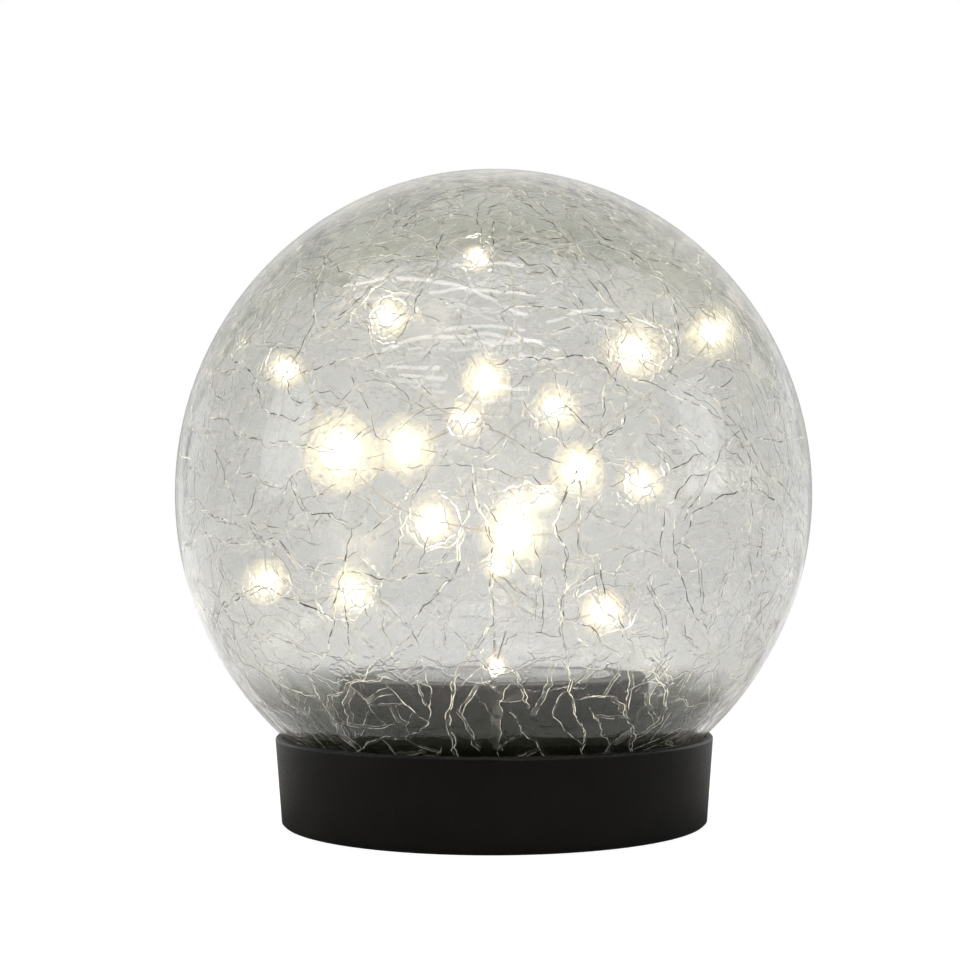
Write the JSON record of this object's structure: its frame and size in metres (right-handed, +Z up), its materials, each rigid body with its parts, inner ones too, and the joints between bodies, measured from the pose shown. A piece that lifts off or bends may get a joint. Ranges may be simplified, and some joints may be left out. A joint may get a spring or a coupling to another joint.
{
  "type": "garden globe light",
  "caption": "Solar garden light: a crackled glass globe on a black round base, with a string of small lamps inside and a solar module in its neck.",
  "frame": {"origin": "on the ground at the globe's axis, under the middle of the base", "axes": "+Z up along the globe's axis, -Y the front, +X to the right seen from the front"},
  "size_m": [0.15, 0.15, 0.1539],
  "materials": {
    "clear_glass": "gloss",
    "black_plastic": "matte",
    "black_module_plastic": "matte",
    "rubber_black": "matte",
    "sealant": "satin",
    "panel_board": "matte",
    "solar_cell": "gloss",
    "clear_resin": "gloss",
    "circuit_board": "satin",
    "component": "gloss",
    "screw_steel": "satin",
    "contact_metal": "satin",
    "battery_wrap": "gloss",
    "lead_insulation": "satin",
    "switch_case": "satin",
    "switch_knob": "satin",
    "copper_wire": "satin",
    "lamp_resin": "gloss"
  },
  "bodies": {
    "lamp": {"glass_globe": "clear_glass", "rim_sealant": "sealant", "neck_gasket": "rubber_black", "base_housing": "black_plastic", "rubber_feet": "rubber_black", "module_housing": "black_module_plastic", "module_gasket": "rubber_black", "module_screws": "screw_steel", "panel_board": "panel_board", "solar_cells": "solar_cell", "panel_resin": "clear_resin", "panel_leads": "lead_insulation", "control_board": "circuit_board", "board_components": "component", "board_screws": "screw_steel", "battery_cell": "battery_wrap", "negative_contact": "contact_metal", "positive_contact": "contact_metal", "battery_spring": "contact_metal", "battery_leads": "lead_insulation", "switch_body": "switch_case", "switch_pins": "contact_metal", "switch_screws": "screw_steel", "switch_leads": "lead_insulation", "string_grommet": "rubber_black", "string_tail": "copper_wire", "led_wire": "copper_wire", "led_beads": "lamp_resin"},
    "switch_knob": {"switch_slider": "switch_knob"},
    "battery_door": {"battery_cover": "black_plastic", "cover_gasket": "rubber_black", "window_gasket": "rubber_black", "cover_screws": "screw_steel"}
  },
  "joints": [
    {"name": "switch_slide", "type": "slide", "parent": "lamp", "child": "switch_knob", "axis": [1, 0, 0], "range_m": [0, 0.004]},
    {"name": "cover_lift_off", "type": "slide", "parent": "lamp", "child": "battery_door", "axis": [0, 0, -1], "range_m": [0, 0.025]}
  ]
}
